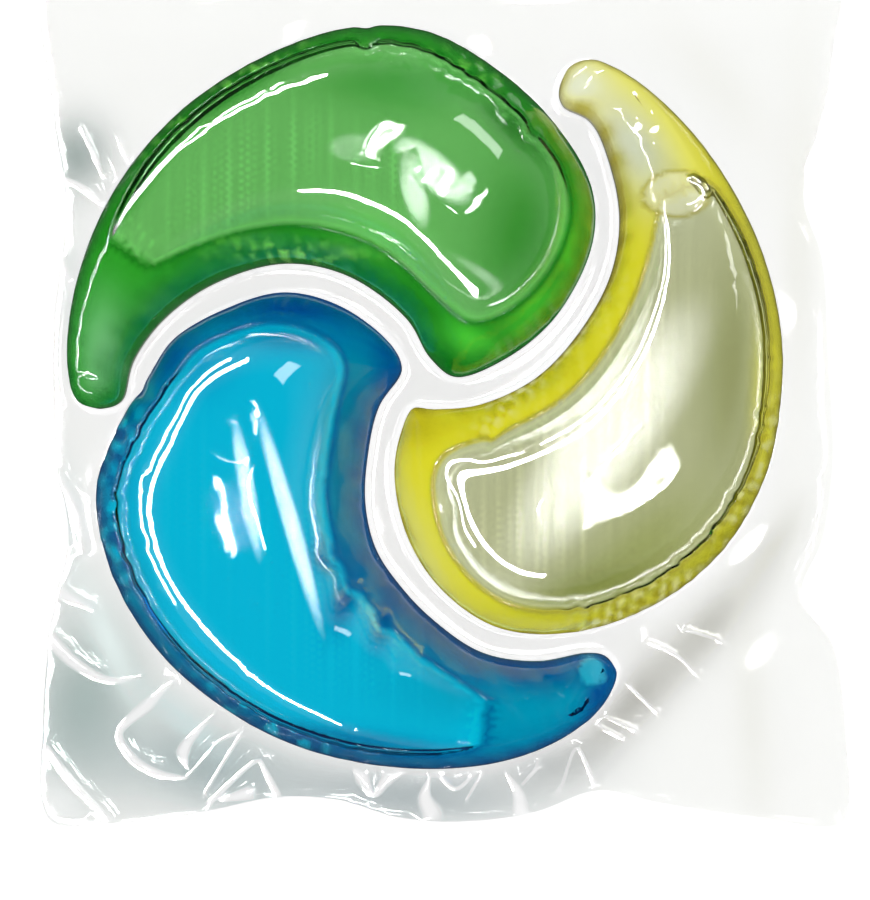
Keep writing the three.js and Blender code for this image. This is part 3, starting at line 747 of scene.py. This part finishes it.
def liquidPiece(name, chamber):
    rim = evenly(ringsFrom(chamber["outline"], (capsule["inset"],)), fine["liquidRim"])
    rings = ringsFrom(rim, (0.05, 0.12, 0.22, 0.35, 0.5, 0.7))
    index, _ = nearestTo(rim, chamber["path"])
    way = chamber["path"][index] - rim
    lines = rim[:, None] + way[:, None] * np.linspace(0, 1, fine["steps"])[None, :, None]
    over = domeZ(lines.reshape(-1, 2), chamber).reshape(len(rim), fine["steps"])
    over -= capsule["film"] + capsule["play"] + capsule["level"] + capsule["climb"]
    meets = (over > 0).any(1) & (over[:, 0] < 0)
    k = (over[meets] > 0).argmax(1)
    low, high = (over[meets, k - 1], over[meets, k])
    share = (k - 1 + low / (low - high)) / (fine["steps"] - 1)
    reach = np.hypot(*way[meets].T)
    contour = np.concatenate(
        [
            rim[meets] + way[meets] * np.clip(share + off / reach, 0.01, 0.99)[:, None]
            for off in (-0.35, -0.2, -0.1, 0, 0.1, 0.2, 0.33, 0.5, 0.75)
        ]
    )
    fixed = np.concatenate([rim, rings, contour])
    grid = hexPoints(rim.min(0), rim.max(0), fine["liquidGrid"])
    _, within = roomAt(grid, rim)
    loose = np.concatenate([rings, contour, keepApart(grid[within], fixed, fine["liquidApart"])])
    _, within = roomAt(loose, rim)
    plan, faces = planMesh([rim], loose[within])
    _, inside = roomAt(plan[faces].mean(1), rim)
    faces = faces[inside]
    onRim = np.arange(len(plan)) < len(rim)
    top = liquidTop(plan, chamber)
    under = bulgeZ(plan, chamber) + capsule["play"]
    top[onRim] = under[onRim] = capsule["seal"] + 0.02
    count = len(plan)
    lower = np.where(onRim, np.arange(count), np.arange(count) + count)
    points = np.concatenate([np.column_stack([plan, top]), np.column_stack([plan, under])])
    faces = np.concatenate([faces, lower[faces][:, ::-1]])
    piece = addMesh(name, points, faces)
    tint = np.ones((len(points), 4))
    tint[:count, :3] = liquidTint(plan, chamber) ** 2  # glass passes the root of its colour
    piece.data.attributes.new("tint", "FLOAT_COLOR", "POINT").data.foreach_set("color", tint.ravel())
    select(piece)
    bpy.ops.object.mode_set(mode="EDIT")
    bpy.ops.mesh.select_all(action="SELECT")
    bpy.ops.mesh.delete_loose()
    bpy.ops.object.mode_set(mode="OBJECT")
    return piece


liquids = {key: liquidPiece(key + "Liquid", chamber) for key, chamber in chambers.items()}
print("liquids made", [len(p.data.polygons) for p in liquids.values()])


def newMaterial(name):
    material = bpy.data.materials.new(name)
    material.use_nodes = True
    nodes = material.node_tree.nodes
    return material, nodes, material.node_tree.links, nodes["Principled BSDF"]


def filmMaterial():
    material, nodes, links, shader = newMaterial("clearFilm")
    output = nodes["Material Output"]
    shader.inputs["Base Color"].default_value = (1, 1, 1, 1)
    shader.inputs["Metallic"].default_value = 1
    shader.inputs["Roughness"].default_value = 0.05
    clear = nodes.new("ShaderNodeBsdfTransparent")
    # the film's see-through colour, with its painted shadows, glows and fold highlights
    hazeAndShade = nodes.new("ShaderNodeAttribute")
    hazeAndShade.attribute_name = "hazeAndShade"
    links.new(hazeAndShade.outputs["Color"], clear.inputs["Color"])
    mix = nodes.new("ShaderNodeMixShader")
    facing = nodes.new("ShaderNodeLayerWeight")
    facing.inputs["Blend"].default_value = 0.5
    steep = nodes.new("ShaderNodeMath")
    steep.operation = "POWER"
    steep.inputs[1].default_value = 5
    links.new(facing.outputs["Facing"], steep.inputs[0])
    gloss = nodes.new("ShaderNodeMath")
    gloss.operation = "MULTIPLY_ADD"
    gloss.inputs[1].default_value = 0.35
    gloss.inputs[2].default_value = 0.04
    links.new(steep.outputs[0], gloss.inputs[0])
    wet = nodes.new("ShaderNodeAttribute")
    wet.attribute_name = "wet"
    dry = nodes.new("ShaderNodeMath")
    dry.operation = "SUBTRACT"
    dry.inputs[0].default_value = 1
    links.new(wet.outputs["Fac"], dry.inputs[1])
    amount = nodes.new("ShaderNodeMath")
    amount.operation = "MULTIPLY"
    links.new(gloss.outputs[0], amount.inputs[0])
    links.new(dry.outputs[0], amount.inputs[1])
    links.new(amount.outputs[0], mix.inputs[0])
    links.new(clear.outputs[0], mix.inputs[1])
    links.new(shader.outputs[0], mix.inputs[2])
    links.new(mix.outputs[0], output.inputs["Surface"])
    return material


def liquidMaterial(name, density, colour):
    material, nodes, links, shader = newMaterial(name)
    shader.inputs["Base Color"].default_value = (1, 1, 1, 1)
    shader.inputs["Transmission Weight"].default_value = 1
    shader.inputs["Roughness"].default_value = 0
    shader.inputs["IOR"].default_value = 1.25
    tint = nodes.new("ShaderNodeAttribute")
    tint.attribute_name = "tint"
    links.new(tint.outputs["Color"], shader.inputs["Base Color"])
    depth = nodes.new("ShaderNodeVolumeAbsorption")
    depth.inputs["Density"].default_value = density
    depth.inputs["Color"].default_value = (*colour, 1)
    links.new(depth.outputs[0], nodes["Material Output"].inputs["Volume"])
    return material


clearFilm = filmMaterial()
for film in (formedFilm, lowerFilm):
    setMaterial(film, clearFilm)

liquidLooks = {
    "green": (140, (0.12, 0.80, 0.05)),
    "blue": (420, (0.0, 0.905, 0.962)),
    "yellow": (50, (0.82, 0.84, 0.0)),
}
for key, (density, colour) in liquidLooks.items():
    setMaterial(liquids[key], liquidMaterial(key + "Detergent", density, colour))

for piece, node in (
    (formedFilm, "formed_film"),
    (lowerFilm, "lower_film"),
    (liquids["green"], "green_liquid"),
    (liquids["blue"], "blue_liquid"),
    (liquids["yellow"], "yellow_liquid"),
):
    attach(piece, "root")
    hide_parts(node)

studio = {
    "horizon": 0.40,  # brightness that the sides of the domes mirror
    "zenith": 0.02,  # and their crowns
    "backdrop": (0.95, 0.95, 0.945),
    "below": 0.04,
    "inside": 0.35,  # what light leaving the liquids upwards meets
    "tableGlow": 0.89,
    "panelHeight": 0.412,
}

bpy.ops.object.select_all(action="DESELECT")
bpy.ops.mesh.primitive_plane_add(size=3, location=(0, 0, -0.0002))
floor = bpy.context.active_object
floor.name = "paleTable"
floorMaterial, _, _, floorShader = newMaterial("paleTable")
floorShader.inputs["Base Color"].default_value = (0.93, 0.93, 0.925, 1)
floorShader.inputs["Roughness"].default_value = 0.7
floorShader.inputs["Specular IOR Level"].default_value = 0
floorShader.inputs["Emission Color"].default_value = (1, 1, 1, 1)
floorShader.inputs["Emission Strength"].default_value = studio["tableGlow"]
setMaterial(floor, floorMaterial)
floor.visible_glossy = False

world = bpy.data.worlds.new("studio")
bpy.context.scene.world = world
world.use_nodes = True
sky, skyLinks = world.node_tree.nodes, world.node_tree.links
background = sky["Background"]
where = sky.new("ShaderNodeTexCoord")
height = sky.new("ShaderNodeSeparateXYZ")
fade = sky.new("ShaderNodeValToRGB")
fade.color_ramp.elements.new(0.02)
skyStops = ((0, studio["below"]), (0.02, studio["horizon"]), (0.75, studio["zenith"]))
for stop, (position, level) in enumerate(skyStops):
    fade.color_ramp.elements[stop].position = position
    fade.color_ramp.elements[stop].color = (level, level, level, 1)
seen = sky.new("ShaderNodeLightPath")
through, backdrop = sky.new("ShaderNodeMix"), sky.new("ShaderNodeMix")
through.data_type = backdrop.data_type = "RGBA"
through.inputs["B"].default_value = (*[studio["inside"]] * 3, 1)
backdrop.inputs["B"].default_value = (*studio["backdrop"], 1)
skyLinks.new(where.outputs["Generated"], height.inputs[0])
skyLinks.new(height.outputs["Z"], fade.inputs[0])
skyLinks.new(seen.outputs["Is Camera Ray"], backdrop.inputs["Factor"])
skyLinks.new(seen.outputs["Is Transmission Ray"], through.inputs["Factor"])
skyLinks.new(fade.outputs[0], through.inputs["A"])
skyLinks.new(through.outputs["Result"], backdrop.inputs["A"])
skyLinks.new(backdrop.outputs["Result"], background.inputs["Color"])


domes = (0, 0, 0.01)  # where the lamps point


def addSoftbox(name, place, target, size, power):
    bpy.ops.object.light_add(type="AREA", location=place)
    lamp = bpy.context.active_object
    lamp.name = name
    lamp.data.shape = "RECTANGLE"
    lamp.data.size, lamp.data.size_y = size
    lamp.data.energy = power
    lamp.rotation_euler = (Vector(target) - Vector(place)).to_track_quat("-Z", "Y").to_euler()
    return lamp


def glossOnly(lamp):  # shows in reflections and lights nothing else
    lamp.visible_diffuse = lamp.visible_transmission = False
    return lamp


def addArc(name, fromAngle, toAngle, elevation, width, power, away=0.4, count=9):
    step = math.radians(toAngle - fromAngle) / count
    for k in range(count):
        turn = math.radians(fromAngle) + (k + 0.5) * step
        flat = away * math.cos(math.radians(elevation))
        rise = away * math.sin(math.radians(elevation))
        place = (flat * math.cos(turn), flat * math.sin(turn), rise)
        size = (2 * flat * math.tan(step / 2), width)
        lamp = addSoftbox(f"{name}{k}", place, domes, size, power)
        glossOnly(lamp)


addArc("lowArc", 115, 215, 9, 0.016, 0.5)
addArc("mainArc", 105, 262, 23, 0.036, 1.5)
overhead = addSoftbox("overhead", (0, 0, 0.6), domes, (0.12, 0.12), 0.6)
overhead.visible_glossy = overhead.visible_transmission = False


def addGlow(name, x, y, a, b, turn, strength, softness):  # a panel whose mirror image falls at x, y
    high = studio["panelHeight"]
    over = shot["height"] - (capsule["level"] - capsule["seal"]) * mm
    reach = (high - capsule["level"] * mm) / over
    centre = [p * mm + (p * mm - c) * reach for p, c in zip((x, y), shot["aim"])]
    bpy.ops.mesh.primitive_plane_add(
        size=2, location=(*centre, high), rotation=(0, 0, math.radians(turn))
    )
    panel = bpy.context.active_object
    panel.name = name
    panel.scale = (a * mm * (1 + reach), b * mm * (1 + reach), 1)
    material, nodes, links, _ = newMaterial(name)
    light = nodes.new("ShaderNodeEmission")
    place = nodes.new("ShaderNodeTexCoord")
    away = nodes.new("ShaderNodeVectorMath")
    away.operation = "LENGTH"
    fade = nodes.new("ShaderNodeMapRange")
    fade.interpolation_type = "SMOOTHSTEP"
    fade.inputs["From Min"].default_value = 1
    fade.inputs["From Max"].default_value = 1 - softness
    fade.inputs["To Max"].default_value = strength
    links.new(place.outputs["Object"], away.inputs[0])
    links.new(away.outputs["Value"], fade.inputs["Value"])
    links.new(fade.outputs[0], light.inputs["Strength"])
    links.new(light.outputs[0], nodes["Material Output"].inputs["Surface"])
    setMaterial(panel, material)
    panel.visible_camera = panel.visible_diffuse = panel.visible_transmission = False


for glow in (  # name, x, y, half-length, half-width, direction, strength, softness
    ("glowYellow", 9.8, -2.2, 11.5, 3.6, 54, 60, 0.7),
    ("glowGreen", -0.9, 13.9, 3.3, 1.3, -40, 75, 0.5),
    ("glowGreenTail", -2.0, 12.6, 2.6, 0.9, -75, 60, 0.6),
    ("glowGreenSide", -5.6, 15.3, 1.9, 1.0, 0, 14, 0.4),
    ("glowGreenLow", 2.2, 7.6, 2.8, 0.45, -32, 22, 0.9),
    ("glowBlueOne", -9.6, -7.4, 8.0, 0.6, -74, 75, 0.6),
    ("glowBlueTwo", -12.2, -5.6, 4.8, 0.6, -80, 75, 0.6),
):
    addGlow(*glow)
addSoftbox("rightBox", (0.25, 0.3, 0.35), domes, (0.15, 0.15), 0.35)

bpy.ops.object.camera_add(location=(*shot["aim"], shot["height"] + capsule["seal"] * mm))
camera = bpy.context.active_object
camera.name = "camera"
camera.data.lens = shot["lens"]
camera.data.sensor_fit = "VERTICAL"
camera.data.sensor_height = shot["sensor"]
camera.data.sensor_width = shot["sensor"] * shot["aspect"]
camera.data.clip_start = 0.01
camera.rotation_euler = (0, 0, 0)

scene = bpy.context.scene
scene.camera = camera
scene.view_settings.view_transform = "Standard"
scene.cycles.max_bounces = 9
scene.cycles.transmission_bounces = 8
scene.cycles.glossy_bounces = 6
scene.cycles.diffuse_bounces = 1
scene.cycles.caustics_reflective = scene.cycles.caustics_refractive = False
scene.cycles.transparent_max_bounces = 10
scene.cycles.use_light_tree = False  # quicker here, with the same light
